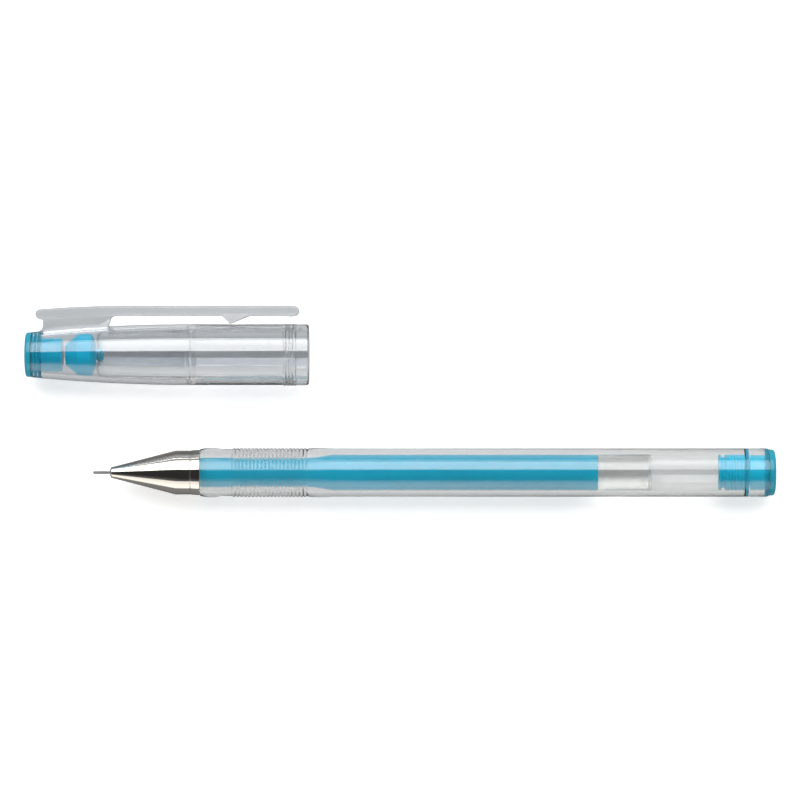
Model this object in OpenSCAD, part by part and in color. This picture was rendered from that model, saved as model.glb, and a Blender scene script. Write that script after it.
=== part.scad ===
// Gel pen with a needle tip, lying beside its cap.
// The pen and the cap lie along X, the tip and the cap's closed end towards -X.
// The origin is on the table, under the centre of the box round both.

/* [Needle and ball] */
// Length of needle that stands out of the cone
needle_out = 3.2; // [2:0.1:5]
// Radius of the steel needle
needle_r = 0.3; // [0.29:0.01:0.4]
// Radius of the writing ball
ball_r = 0.25; // [0.24:0.01:0.26]
// Running gap round the ball in its seat
ball_gap = 0.015; // [0.01:0.005:0.03]
// Length of needle held in the tip holder
needle_hold = 6; // [4:0.5:8]

/* [Refill] */
// Outer radius of the wide ink tube
refill_r = 3.33; // [2.8:0.01:4]
// Outer radius of the slim front of the ink tube
refill_front_r = 2.76; // [2.3:0.01:2.8]
// Wall of the ink tube
refill_wall = 0.55; // [0.4:0.05:0.7]
// Where the slim front ends, from the cone's rear edge
refill_front_l = 20.7; // [15:0.1:30]
// Length of the shoulder between the slim and the wide tube
refill_shoulder_l = 4.3; // [2:0.1:8]
// Empty length of barrel between the ink tube and the tail plug
refill_clear_l = 12.4; // [2:0.1:30]
// Empty length of ink tube behind the ink, with the grease plug in it
ink_used_l = 9.9; // [6:0.1:45]
// Length of the grease plug behind the ink
follower_l = 9.4; // [3:0.1:9.6]

/* [Cone] */
// Length of the metal cone
cone_l = 16.8; // [14:0.1:20]
// Length of the cone's plain rear collar, up to its joint line
cone_collar_l = 4.6; // [3:0.1:6]
// Radius of the cone's mouth
cone_mouth_r = 1.05; // [0.9:0.05:1.3]
// Wall of the cone round the thread
cone_wall = 0.25; // [0.2:0.05:0.5]
// How much the cone's rear edge flares
cone_flare = 0.14; // [0:0.01:0.3]
// Wall of the cone's tapered front
cone_front_wall = 0.55; // [0.4:0.05:0.7]

/* [Barrel] */
// Length of the clear barrel behind the cone
barrel_l = 105.6; // [95:0.1:120]
// Wall of the plain barrel
barrel_wall = 1.05; // [0.8:0.05:1.5]
// Wall of the threaded spigot at the root of its thread
spigot_wall = 0.27; // [0.2:0.01:0.5]
// Height of the spigot's thread
thread_h = 0.1; // [0.05:0.01:0.2]
// How far the spigot's end stays behind the front of the cone's collar
spigot_short = 0.4; // [0.2:0.1:1]
// Gap round the refill in the barrel
refill_gap = 0.12; // [0.08:0.01:0.3]
// Gap between the spigot and the cone
thread_gap = 0.03; // [0.02:0.01:0.1]

/* [Grip] */
// Length of the rounded collar behind the cone
collar_l = 4; // [3:0.1:6]
// Height of the collar over the plain barrel
collar_h = 0.1; // [0.05:0.01:0.2]
// Length of the neck behind the collar
neck_l = 1.9; // [1:0.1:3]
// Depth of the neck below the plain barrel
neck_d = 0.12; // [0.05:0.01:0.2]
// Number of ribs
rib_count = 20; // [8:1:24]
// Distance from rib to rib
rib_pitch = 0.695; // [0.6:0.005:0.9]
// Height of a rib
rib_h = 0.15; // [0.05:0.01:0.25]
// Length of the fuller shoulder behind the ribs
shoulder_l = 3.6; // [2:0.1:6]

/* [Tail plug] */
// Thickness of the plug's end flange
tail_flange_t = 1.3; // [1:0.1:2]
// How far the flange's edge lies inside the barrel's
tail_flange_inset = 0.2; // [0:0.01:0.3]
// Length of the plug inside the barrel
tail_plug_l = 9.6; // [8:0.1:14]
// Radius of the plug's stem
tail_stem_r = 3.25; // [2.5:0.05:3.3]
// Distance from the barrel's end to the snap ring
snap_at = 3.7; // [3:0.1:5]
// Width of the snap ring
snap_w = 0.9; // [0.6:0.1:1.2]
// Depth of the snap groove in the barrel
snap_d = 0.12; // [0.05:0.01:0.2]

/* [Cap] */
// Length of the cap without its end plug's flange
cap_l = 51.5; // [48:0.1:58]
// Radius of the cap's closed end
cap_end_r = 4.2; // [3.9:0.05:4.6]
// Wall of the cap
cap_wall = 0.93; // [0.8:0.01:1.2]
// Gap between the cap's bore and the grip
cap_gap = 0.12; // [0.08:0.01:0.3]
// Length over which the cap swells to its full radius
swell_l = 29.7; // [20:0.1:35]
// Height of the bead near the cap's mouth
bead_h = 0.12; // [0.05:0.01:0.2]
// Length of the bead
bead_l = 2.5; // [1:0.1:3]
// Distance from the bead to the mouth
bead_at = 2.3; // [2:0.1:4]
// Gap between the cap's middle line and the pen's
cap_to_pen = 21.9; // [20:0.1:30]
// How far the cap's closed end lies ahead of the needle's tip
cap_lead = 12.5; // [0:0.1:20]

/* [Cap end plug] */
// Thickness of the plug's flange
end_flange_t = 1.2; // [0.8:0.1:2]
// Depth of the seat that the plug snaps into
end_seat_l = 1.9; // [1.5:0.1:3]
// Wall of the cap round that seat
end_seat_wall = 0.6; // [0.4:0.05:0.8]
// Radius of the plug's stem
end_stem_r = 3.1; // [2.8:0.05:3.2]
// Length of the plug inside the cap
end_plug_l = 5.8; // [4:0.1:6]

/* [Inner cap and tip seal] */
// Distance from the cap's end to the inner cap's closed end
inner_at = 12.2; // [11:0.1:14]
// Length of the inner cap
inner_l = 17.25; // [16:0.05:18]
// Gap between the inner cap and the cap
inner_gap = 0.15; // [0.1:0.01:0.3]
// Wall of the inner cap
inner_wall = 0.5; // [0.4:0.05:0.7]
// Gap between the inner cap's rim and the cone's collar
seal_gap = 0.04; // [0.02:0.01:0.1]
// Radius of the seal's body
seal_r = 3.85; // [2.8:0.05:3.85]
// Length of the seal's body
seal_l = 3.8; // [2.5:0.1:4]
// Radius of the seal's rear boss at its end
boss_r = 1.9; // [1.5:0.05:2.6]
// Length of the seal's rear boss
boss_l = 2; // [1:0.1:2.4]
// Radius of the seal's nose
nose_r = 1.4; // [1:0.05:1.6]
// Length of the seal's nose
nose_l = 1.2; // [1:0.1:2]

/* [Clip] */
// Thickness of the clip, away from the cap
clip_t = 1.9; // [1.4:0.1:2.4]
// Width of the clip across the cap
clip_w = 3.8; // [3:0.1:5]
// Clear height between the cap and the clip
clip_gap = 1.5; // [1:0.1:2.5]
// Drop of the clip towards its root end
clip_drop = 0.7; // [0.3:0.1:1]
// Thickness of the web across the cap
web_t = 1.7; // [1.2:0.1:2.4]
// Where the web starts, from the cap's end
web_at = 2.1; // [1.5:0.1:4]
// Length of the web
web_l = 12.6; // [10:0.1:16]
// How far the clip's root end overhangs the web
clip_over = 1.3; // [0.5:0.1:2]
// How far the clip's free end stops short of the cap's mouth
clip_short = 1.8; // [0:0.1:8]
// Where the pocket tooth's point is, from the clip's free end
tooth_at = 12.8; // [8:0.1:16]
// Length of the pocket tooth
tooth_l = 5; // [3:0.1:7]
// Gap between the tooth and the cap
tooth_gap = 0.1; // [0.05:0.01:0.3]
// Gap left where the flexing arm leaves the root
flex_gap = 0.2; // [0.15:0.01:0.3]

/* [Hidden] */
$fn = 96;

// Radii, from the refill outwards
bore_r = refill_r + refill_gap;
spigot_root_r = bore_r + spigot_wall;
spigot_r = spigot_root_r + thread_h;
cone_bore_r = spigot_r + thread_gap;
cone_r = cone_bore_r + cone_wall;
barrel_r = bore_r + barrel_wall;
grip_r = barrel_r + collar_h;
neck_r = barrel_r - neck_d;
cap_bore_r = grip_r + cap_gap;
cap_r = cap_bore_r + cap_wall;
bead_r = cap_r + bead_h;
tank_r = refill_r - refill_wall;
front_tank_r = refill_front_r - refill_wall;

// Places along the pen, from the needle's tip
cone_x = needle_out;
barrel_x = cone_x + cone_l;
collar_x = barrel_x - cone_collar_l;
spigot_x = collar_x + spigot_short;
ribs_x = barrel_x + collar_l + neck_l;
shoulder_x = ribs_x + rib_count * rib_pitch;
barrel_end = barrel_x + barrel_l;
pen_l = barrel_end + tail_flange_t;
refill_shoulder_x = barrel_x + refill_front_l;
refill_wide_x = refill_shoulder_x + refill_shoulder_l;
refill_end = barrel_end - tail_plug_l - refill_clear_l;
ink_end = refill_end - ink_used_l;

// Cone: its taper runs from the rounded mouth to the collar
mouth_round = 0.42;
taper_x = cone_x + mouth_round;
joint_line_x = barrel_x - 1.9;
line_w = 0.14;
line_d = 0.06;
fit = 0.02;        // gap between pieces pushed together by hand in the works

// Tip holder: a plug in the ink tube's front, a collar against its edge, and a long taper
holder_collar_x = collar_x - 0.6;
holder_collar_l = 1.2;
holder_plug_l = 3.6;
holder_front_x = cone_x + 1.3;
holder_channel_r = 0.6;
holder_gap = 0.12; // gap between the tip holder and the cone
tube_front_x = holder_collar_x + holder_collar_l;
holder_end = tube_front_x + holder_plug_l;

// Cap: heights over its closed end, from the flange of the end plug
shell_u = end_flange_t;
cap_end = end_flange_t + cap_l;
inner_u = shell_u + inner_at;
inner_end = inner_u + inner_l;
rim_l = 3;         // length of the inner cap's sealing bore
rim_flange_l = 0.6;
retainer_l = 1.45;
retainer_h = 0.16;
end_seat_r = cap_end_r - end_seat_wall;
mouth_fillet = 0.3;

// The whole box, and where the two middle lines lie in it
clip_bottom = cap_r + clip_gap;
clip_top = clip_bottom + clip_t;
total_x = cap_lead + pen_l;
total_y = grip_r + cap_to_pen + clip_top;
tip_x = cap_lead - total_x / 2;
pen_y = grip_r - total_y / 2;
cap_x = -total_x / 2;
cap_y = pen_y + cap_to_pen;

// Clip: places along the cap, from its closed end
clip_u = shell_u + web_at - clip_over;
clip_end = cap_end - clip_short;
web_u = shell_u + web_at;
web_end = web_u + web_l;
flex_u = web_end + 0.6;
tooth_u = clip_end - tooth_at;
drop_l = 17;       // length over which the clip drops towards its root

// Radius of the taper inside and outside the cone, at x from the needle's tip
function cone_at(x) = lookup(x, [
  [taper_x, cone_mouth_r],
  [collar_x, cone_r]
]);

// Outer radius of the cap at u from its closed end: it swells fast at first, then levels out
function swell(t) = t * (2 - t);
function cap_at(u) = cap_end_r + (cap_r - cap_end_r) * swell(min(1, max(0, (u - shell_u) / swell_l)));
function cap_bore_at(u) = cap_at(u) - cap_wall;
function inner_at_u(u) = cap_bore_at(u) - inner_gap;

// Height of the clip's underside over the cap's middle line
function clip_drop_at(u) = clip_drop * pow(max(0, 1 - (u - clip_u) / drop_l), 2);

// Points along an arc of radius r round c, from angle a to angle b
function arc(c, r, a, b) = [for (t = steps(a, b, 12)) c + r * [cos(t), sin(t)]];

// Evenly spaced values from a to b, both included
function steps(a, b, n) = [for (i = [0:n]) a + (b - a) * i / n];

// Puts a shape made along Z on the pen's middle line, its base at the needle's tip
module on_pen() {
  translate([tip_x, pen_y, grip_r])
    rotate([0, 90, 0])
      children();
}

// The same for the cap, its base at the cap's closed end
module on_cap() {
  translate([cap_x, cap_y, bead_r])
    rotate([0, 90, 0])
      children();
}

// Turns an outline of [radius, height] points round Z
module lathe(outline) {
  rotate_extrude()
    polygon(outline);
}

// A plain ring or disc, from height a to height b
module ring(r_in, r_out, a, b) {
  lathe([[r_in, a], [r_out, a], [r_out, b], [r_in, b]]);
}

// Clear barrel: threaded spigot, rounded collar, neck, ribs, shoulder and plain tube, bored right through
module barrel() {
  thread_n = 5;
  thread_pitch = (barrel_x - spigot_x - 0.8) / thread_n;
  crest = 0.3 * thread_pitch;
  thread = [for (i = [0:thread_n - 1])
    let (x = spigot_x + 0.5 + i * thread_pitch)
      each [[spigot_root_r, x], [spigot_r, x + crest], [spigot_r, x + 2 * crest], [spigot_root_r, x + 3 * crest]]];
  root_r = barrel_r + 0.5 * collar_h - rib_h;
  flat = 0.1 * rib_pitch;
  slope = 0.17 * rib_pitch;
  ribs = [for (i = [0:rib_count - 1])
    let (x = ribs_x + i * rib_pitch)
      each [
        [root_r, x + flat],
        [root_r + rib_h, x + flat + slope],
        [root_r + rib_h, x + rib_pitch - slope],
        [root_r, x + rib_pitch]
      ]];
  collar = [for (t = steps(0, 1, 8))
    [barrel_r - 0.07 + (collar_h + 0.07) * sin(150 * t + 8) , barrel_x + collar_l * t]];
  shoulder = [for (t = steps(0, 1, 6))
    [barrel_r + collar_h * sin(180 * t), shoulder_x + 0.5 + shoulder_l * t]];
  snap_x = barrel_end - snap_at - snap_w;
  color([0.86, 0.92, 0.93, 0.5])
    on_pen()
      lathe(concat(
        [[bore_r, spigot_x], [spigot_root_r, spigot_x]],
        thread,
        [[spigot_root_r, barrel_x]],
        collar,
        [[neck_r, barrel_x + collar_l + 0.2], [neck_r, ribs_x]],
        ribs,
        shoulder,
        [
          [barrel_r, barrel_end - 0.25],
          [barrel_r - 0.08, barrel_end],
          [bore_r, barrel_end],
          [bore_r, snap_x + snap_w],
          [bore_r + snap_d, snap_x + 0.8 * snap_w],
          [bore_r + snap_d, snap_x + 0.2 * snap_w],
          [bore_r, snap_x]
        ]
      ));
}

// Blue plug in the barrel's tail: front lip, ribbed stem, snap ring and domed end flange
module tail_plug() {
  front = barrel_end - tail_plug_l;
  snap_x = barrel_end - snap_at - snap_w;
  flange_r = barrel_r - tail_flange_inset;
  flange_round = 0.5 * tail_flange_t;
  rib_l = 0.56;
  rib_n = floor((snap_x - front - 1.6) / rib_l);
  ribs = [for (i = [0:rib_n - 1])
    let (x = front + 1.4 + i * rib_l)
      each [
        [tail_stem_r, x],
        [tail_stem_r + 0.1, x + 0.2 * rib_l],
        [tail_stem_r + 0.1, x + 0.6 * rib_l],
        [tail_stem_r, x + 0.8 * rib_l]
      ]];
  dome = 0.15;
  rounding = [for (a = steps(0, 90, 5))
    [flange_r - flange_round * (1 - cos(a)), pen_l - dome - flange_round * (1 - sin(a))]];
  color([0.1, 0.6, 0.75])
    on_pen()
      lathe(concat(
        [
          [0, front],
          [tail_stem_r - 0.2, front],
          [tail_stem_r + 0.07, front + 0.2],
          [tail_stem_r + 0.07, front + 0.5],
          [tail_stem_r - 0.4, front + 0.6],
          [tail_stem_r - 0.4, front + 1.1],
          [tail_stem_r, front + 1.2]
        ],
        ribs,
        [
          [tail_stem_r, snap_x - 0.15],
          [bore_r - fit, snap_x - 0.05],
          [bore_r - fit, snap_x + 0.1 * snap_w],
          [bore_r + snap_d - fit, snap_x + 0.3 * snap_w],
          [bore_r + snap_d - fit, snap_x + 0.7 * snap_w],
          [bore_r - fit, snap_x + 0.9 * snap_w],
          [tail_stem_r, snap_x + 1.1 * snap_w],
          [tail_stem_r, barrel_end - 1],
          [bore_r - fit, barrel_end - 0.9],
          [bore_r - fit, barrel_end],
          [flange_r, barrel_end]
        ],
        rounding,
        [[0.5 * flange_r, pen_l - 0.03], [0, pen_l]]
      ));
}

// Metal cone: rounded mouth, straight taper, collar with a fine joint line, flared rear edge
module nose_cone() {
  mouth_hole_r = needle_r + 0.2;
  round_r = cone_mouth_r - mouth_hole_r;
  mouth = [for (a = steps(0, 75, 5))
    [mouth_hole_r + round_r * sin(a), cone_x + mouth_round * (1 - cos(a))]];
  land_x = taper_x + 1;
  bore_front_x = collar_x + 0.1;
  color([0.8, 0.78, 0.74])
    on_pen()
      lathe(concat(
        mouth,
        [
          [cone_at(taper_x), taper_x],
          [cone_at(collar_x), collar_x],
          [cone_r, joint_line_x],
          [cone_r - line_d, joint_line_x],
          [cone_r - line_d, joint_line_x + line_w],
          [cone_r + 0.3 * cone_flare, joint_line_x + line_w],
          [cone_r + cone_flare, barrel_x - 0.15],
          [cone_r + cone_flare - 0.06, barrel_x],
          [cone_bore_r, barrel_x],
          [cone_bore_r, bore_front_x],
          [cone_at(bore_front_x) - cone_front_wall, bore_front_x],
          [cone_at(land_x) - cone_front_wall, land_x],
          [mouth_hole_r, land_x - 0.3]
        ]
      ));
}

// Ink tube: slim front, shoulder and wide tube, open at the rear
module refill_tube() {
  color([0.9, 0.93, 0.93, 0.5])
    on_pen()
      lathe([
        [front_tank_r, tube_front_x],
        [refill_front_r, tube_front_x],
        [refill_front_r, refill_shoulder_x],
        [refill_r, refill_wide_x],
        [refill_r, refill_end - 0.2],
        [refill_r - 0.15, refill_end],
        [tank_r, refill_end],
        [tank_r, refill_wide_x],
        [front_tank_r, refill_shoulder_x]
      ]);
}

// Tip holder: drilled plug, collar and taper, with a socket for the needle
module tip_holder() {
  shell = cone_front_wall + holder_gap;
  socket_end = holder_front_x + needle_hold;
  color([0.93, 0.94, 0.94])
    on_pen()
      lathe([
        [needle_r, holder_front_x],
        [cone_at(holder_front_x) - shell, holder_front_x],
        [cone_at(holder_collar_x - 0.8) - shell, holder_collar_x - 0.8],
        [refill_front_r, holder_collar_x],
        [refill_front_r, tube_front_x],
        [front_tank_r - fit, tube_front_x],
        [front_tank_r - fit, holder_end - 0.4],
        [front_tank_r - 0.3, holder_end],
        [holder_channel_r, holder_end],
        [holder_channel_r, socket_end],
        [needle_r, socket_end]
      ]);
}

// Needle: fine steel pipe with a seat for the ball and a lip turned in over it
module needle() {
  seat_r = ball_r + ball_gap;
  pipe_r = 0.6 * ball_r;
  lip_x = 0.6 * ball_r;
  back_x = ball_r + sqrt(pow(seat_r, 2) - pow(pipe_r, 2));
  lip_r = sqrt(pow(seat_r, 2) - pow(ball_r - lip_x, 2));
  color([0.75, 0.76, 0.77])
    on_pen()
      difference() {
        lathe([
          [pipe_r, back_x - 0.05],
          [lip_r, lip_x],
          [lip_r + 0.03, lip_x],
          [needle_r, lip_x + 0.25],
          [needle_r, holder_front_x + needle_hold],
          [pipe_r, holder_front_x + needle_hold]
        ]);
        translate([0, 0, ball_r])
          sphere(r = seat_r);
      }
}

// Writing ball, its front at the needle's tip
module writing_ball() {
  color([0.5, 0.5, 0.52])
    on_pen()
      translate([0, 0, ball_r])
        sphere(r = ball_r);
}

// Ink from the tip holder to the grease plug
module ink() {
  gap = fit;
  color([0.15, 0.6, 0.72])
    on_pen()
      lathe([
        [0, holder_end + gap],
        [front_tank_r - gap, holder_end + gap],
        [front_tank_r - gap, refill_shoulder_x],
        [tank_r - gap, refill_wide_x],
        [tank_r - gap, ink_end],
        [0, ink_end]
      ]);
}

// Clear grease plug behind the ink
module follower() {
  gap = 0.05;
  color([0.85, 0.87, 0.85])
    on_pen()
      ring(0, tank_r - gap, ink_end + gap, ink_end + follower_l);
}

// Web that carries the clip, and the clip's root over it, in one flat piece
module clip_root() {
  sink = 0.5 * cap_wall;
  flare = 0.7;
  root_r = 0.5 * clip_t;
  root_end = [clip_u + root_r, clip_bottom - clip_drop_at(clip_u + root_r) + root_r];
  foot = [for (u = steps(web_end - 0.5, web_u - flare, 6)) [u, cap_at(u) - sink]];
  under = [for (u = steps(flex_u, web_u, 6)) [u, clip_bottom - clip_drop_at(u)]];
  top = [for (u = steps(web_u, flex_u, 6)) [u, clip_top - clip_drop_at(u)]];
  web_top = clip_bottom + 0.2 * clip_t - clip_drop;
  translate([cap_x, cap_y, bead_r - 0.5 * web_t])
    linear_extrude(web_t)
      polygon(concat(
        foot,
        [[web_u, cap_at(web_u) + 0.6], [web_u, web_top], [web_end, web_top + clip_drop]]
      ));
  translate([cap_x, cap_y, bead_r - 0.5 * clip_w])
    linear_extrude(clip_w)
      polygon(concat(under, arc(root_end, root_r, 270, 90), top));
}

// Clear cap: swelling tube with a bead and grooves near its mouth, with the clip's root moulded on
module cap_shell() {
  bead_end = cap_end - bead_at;
  bead_u = bead_end - bead_l;
  groove_n = 3;
  groove_l = 0.3;
  groove_pitch = bead_l / groove_n;
  grooves = [for (i = [0:groove_n - 1])
    let (u = bead_u + (i + 0.5) * groove_pitch)
      each [
        [bead_r, u - 0.5 * groove_l],
        [bead_r - 0.1, u],
        [bead_r, u + 0.5 * groove_l]
      ]];
  swell_end = shell_u + swell_l;
  seat_end = shell_u + end_seat_l;
  outside = [for (u = steps(shell_u, swell_end, 12)) [cap_at(u), u]];
  inside = [for (u = steps(inner_end, seat_end, 12)) [cap_bore_at(u), u]];
  retainer_u = inner_end + fit;
  color([0.85, 0.87, 0.87, 0.5]) {
    on_cap()
      lathe(concat(
        outside,
        [[cap_r, bead_u - 0.15]],
        grooves,
        [
          [cap_r, bead_end + 0.15],
          [cap_r, cap_end - mouth_fillet],
          [cap_r - 0.1, cap_end - 0.1],
          [cap_r - mouth_fillet, cap_end],
          [cap_bore_r + 0.2, cap_end],
          [cap_bore_r, cap_end - 0.2],
          [cap_bore_r, retainer_u + retainer_l],
          [cap_bore_r - retainer_h, retainer_u + 0.55 * retainer_l],
          [cap_bore_r - retainer_h, retainer_u + 0.2 * retainer_l],
          [cap_bore_r, retainer_u]
        ],
        inside,
        [[end_seat_r, seat_end], [end_seat_r, shell_u]]
      ));
    clip_root();
  }
}

// Clip arm: the part of the clip that flexes, with the tooth that grips a pocket
module clip_arm() {
  start = flex_u + flex_gap;
  lip_l = 1.6;
  lip_h = 0.1;
  end_r = 0.5 * clip_t;
  round_end = [clip_end - end_r, clip_bottom + end_r];
  top = [for (u = steps(start, clip_u + drop_l, 3)) [u, clip_top - clip_drop_at(u)]];
  under = [for (u = steps(clip_u + drop_l, start, 3)) [u, clip_bottom - clip_drop_at(u)]];
  tooth_tip = cap_r + tooth_gap;
  color([0.78, 0.8, 0.81, 0.6])
    translate([cap_x, cap_y, bead_r - 0.5 * clip_w])
      linear_extrude(clip_w)
        polygon(concat(
          top,
          arc(round_end, end_r, 90, -90),
          [
            [clip_end - lip_l, clip_bottom - lip_h],
            [clip_end - lip_l - 0.8, clip_bottom],
            [tooth_u + 0.7 * tooth_l, clip_bottom],
            [tooth_u + 0.1, tooth_tip],
            [tooth_u - 0.1, tooth_tip],
            [tooth_u - 0.3 * tooth_l, clip_bottom]
          ],
          under
        ));
}

// Blue plug in the cap's closed end: rounded flange, snapped seat with rings, slimmer stem
module cap_end_plug() {
  flange_r = cap_end_r - 0.05;
  flange_round = 0.5;
  seat_end = shell_u + end_seat_l;
  stem_end = shell_u + end_plug_l;
  ring_d = 0.1;
  rounding = [for (a = steps(0, 90, 5))
    [flange_r - flange_round * (1 - sin(a)), 0.12 + flange_round * (1 - cos(a))]];
  rings = [for (i = [0:1])
    let (u = shell_u + 0.45 + 0.7 * i)
      each [
        [end_seat_r - fit, u],
        [end_seat_r - ring_d, u + 0.1],
        [end_seat_r - ring_d, u + 0.25],
        [end_seat_r - fit, u + 0.35]
      ]];
  color([0.1, 0.6, 0.75])
    on_cap()
      lathe(concat(
        [[0, 0], [0.5 * flange_r, 0.03]],
        rounding,
        [[flange_r, shell_u], [end_seat_r - fit, shell_u]],
        rings,
        [
          [end_seat_r - fit, seat_end],
          [end_stem_r, seat_end],
          [end_stem_r, stem_end - 0.1],
          [end_stem_r - 0.1, stem_end],
          [0, stem_end]
        ]
      ));
}

// Frosted inner cap: end wall with a hole for the seal's nose, tapered sleeve, sealing rim with a flange
module inner_cap() {
  end_wall = 0.7;
  rim_r = cone_r + seal_gap;
  rim_u = inner_end - rim_l;
  flange_u = inner_end - rim_flange_l;
  body_end = flange_u - 0.2;
  outside = [for (u = steps(inner_u + 0.5, body_end, 8)) [inner_at_u(u), u]];
  inside = [for (u = steps(rim_u, inner_u + end_wall, 8)) [min(rim_r, inner_at_u(u) - inner_wall), u]];
  color([0.88, 0.9, 0.9])
    on_cap()
      lathe(concat(
        [
          [nose_r + fit, inner_u],
          [inner_at_u(inner_u) - 0.5, inner_u]
        ],
        outside,
        [
          [cap_bore_at(flange_u) - fit, flange_u],
          [cap_bore_at(flange_u) - fit, inner_end],
          [rim_r + 0.1, inner_end],
          [rim_r, inner_end - 0.15],
          [rim_r, rim_u + 0.3]
        ],
        inside,
        [[nose_r + fit, inner_u + end_wall]]
      ));
}

// Soft seal: tapered rear boss, round body, taper that stops against the inner cap, and a domed nose
module tip_seal() {
  body_u = inner_u - seal_l;
  nose_end = inner_u + nose_l;
  pit_r = needle_r + 0.1;
  dome = [for (a = steps(0, 90, 6))
    [pit_r + (nose_r - pit_r) * cos(a), nose_end - 0.8 + 0.8 * sin(a)]];
  color([0.1, 0.55, 0.72])
    on_cap()
      lathe(concat(
        [
          [0, body_u - boss_l + 0.1],
          [boss_r, body_u - boss_l],
          [seal_r - 0.3, body_u],
          [seal_r, body_u + 0.4],
          [seal_r, inner_u - 1],
          [nose_r + 0.2, inner_u],
          [nose_r, inner_u]
        ],
        dome,
        [[pit_r, nose_end - 1], [0, nose_end - 1.1]]
      ));
}

barrel();
tail_plug();
nose_cone();
refill_tube();
tip_holder();
needle();
writing_ball();
ink();
follower();
cap_shell();
clip_arm();
cap_end_plug();
inner_cap();
tip_seal();
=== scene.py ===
# %% [markdown]
# # A gel pen with a needle tip, and its cap
# The pen and its cap lie side by side on a white table. Nearly every piece was made on a lathe or in a
# round mould, so most of this lesson is about one idea: draw half of a section as a line, and turn it
# round the middle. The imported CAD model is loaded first, because it says where everything is.

# %% Load the frame
import math
from functools import partial
import bmesh
import bpy
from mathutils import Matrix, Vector


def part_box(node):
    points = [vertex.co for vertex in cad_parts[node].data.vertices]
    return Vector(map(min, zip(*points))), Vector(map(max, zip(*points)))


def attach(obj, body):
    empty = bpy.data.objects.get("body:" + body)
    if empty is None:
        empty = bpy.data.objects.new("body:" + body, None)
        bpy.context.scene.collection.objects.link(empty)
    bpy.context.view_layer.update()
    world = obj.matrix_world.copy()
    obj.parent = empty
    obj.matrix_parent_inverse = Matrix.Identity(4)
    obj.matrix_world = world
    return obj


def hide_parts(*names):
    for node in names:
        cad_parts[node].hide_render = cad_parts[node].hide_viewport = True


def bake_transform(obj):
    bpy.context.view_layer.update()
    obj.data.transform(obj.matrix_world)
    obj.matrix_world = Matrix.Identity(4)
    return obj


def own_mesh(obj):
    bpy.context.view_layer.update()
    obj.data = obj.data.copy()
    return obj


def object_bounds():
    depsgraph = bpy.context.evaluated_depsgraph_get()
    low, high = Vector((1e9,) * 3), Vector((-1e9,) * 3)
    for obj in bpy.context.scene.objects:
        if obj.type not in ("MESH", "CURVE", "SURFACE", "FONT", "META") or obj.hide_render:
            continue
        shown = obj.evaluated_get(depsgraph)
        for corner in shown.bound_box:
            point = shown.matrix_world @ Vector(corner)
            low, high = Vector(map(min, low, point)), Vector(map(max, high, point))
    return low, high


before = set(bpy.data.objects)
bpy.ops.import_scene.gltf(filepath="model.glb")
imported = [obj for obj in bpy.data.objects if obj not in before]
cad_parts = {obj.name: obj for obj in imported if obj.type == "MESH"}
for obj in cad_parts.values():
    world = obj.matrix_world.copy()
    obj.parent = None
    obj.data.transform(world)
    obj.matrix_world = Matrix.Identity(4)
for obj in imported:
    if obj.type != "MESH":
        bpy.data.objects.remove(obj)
cad_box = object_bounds()
MM = 0.001
print("CAD box in metres:", [[round(v, 4) for v in corner] for corner in cad_box])

# %% [markdown]
# ## Where the two middle lines are
# Every outline below is written in millimetres: how far along the piece, and how far out from its middle
# line. The pen is measured from the front of its ball, the cap from its closed end. Both middle lines come
# from the CAD nodes' boxes, so that nothing has to be fitted by eye afterwards.


# %% Middle lines of the pen and the cap
def middle_of(node):
    low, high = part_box(node)
    return (low + high) / 2


def width_of(node):
    low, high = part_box(node)
    return (high.z - low.z) / MM


pen_axis = middle_of("barrel")
pen_axis.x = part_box("writing_ball")[0].x
cap_axis = middle_of("inner_cap")
cap_axis.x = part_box("cap_end_plug")[0].x


def along(axis, node):
    """Where a node starts and ends, in millimetres from the start of a middle line."""
    return [(corner.x - axis.x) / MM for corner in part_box(node)]


along_pen = partial(along, pen_axis)
along_cap = partial(along, cap_axis)
print("barrel along the pen:", [round(v, 2) for v in along_pen("barrel")])
print("shell along the cap:", [round(v, 2) for v in along_cap("cap_shell")])

# %% [markdown]
# ## Turning an outline
# A lathe turns a line into a round body. Blender has a Screw modifier for that, but a small Geometry Nodes
# tree does the same with inputs that can be named: it lays out a grid with one row for each point of the
# outline, and bends the grid round the X axis. Its first and last column meet, and are merged. A tree is
# built node by node, so the helpers come first: each makes one node and fills in its inputs.


# %% Helpers: nodes
def add_node(tree, kind, slots=None, **settings):
    """A new node; slots gives a socket or a constant for its inputs, and settings gives its properties."""
    node = tree.nodes.new(kind)
    for name, value in settings.items():
        setattr(node, name, value)
    for slot, value in (slots or {}).items():
        if isinstance(value, bpy.types.NodeSocket):
            tree.links.new(value, node.inputs[slot])
        else:
            node.inputs[slot].default_value = value
    return node


def math_node(tree, operation, a, b=None, c=None):
    """One Math node; each argument is a socket or a number."""
    slots = {slot: value for slot, value in enumerate((a, b, c)) if value is not None}
    return add_node(tree, "ShaderNodeMath", slots, operation=operation).outputs[0]


def vector_math(tree, operation, vector, by):
    """One Vector Math node; by is the second vector, or the number that SCALE takes."""
    slots = {0: vector, "Scale" if operation == "SCALE" else 1: by}
    return add_node(tree, "ShaderNodeVectorMath", slots, operation=operation).outputs[0]


def parts_of(tree, vector):
    """The sockets X, Y and Z of a vector."""
    return add_node(tree, "ShaderNodeSeparateXYZ", {0: vector}).outputs


def window(tree, value, low, high, to_low=0.0, to_high=1.0, **settings):
    """A clamped Map Range from low..high to to_low..to_high."""
    slots = {"Value": value, "From Min": low, "From Max": high, "To Min": to_low, "To Max": to_high}
    return add_node(tree, "ShaderNodeMapRange", slots, **settings).outputs[0]


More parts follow.
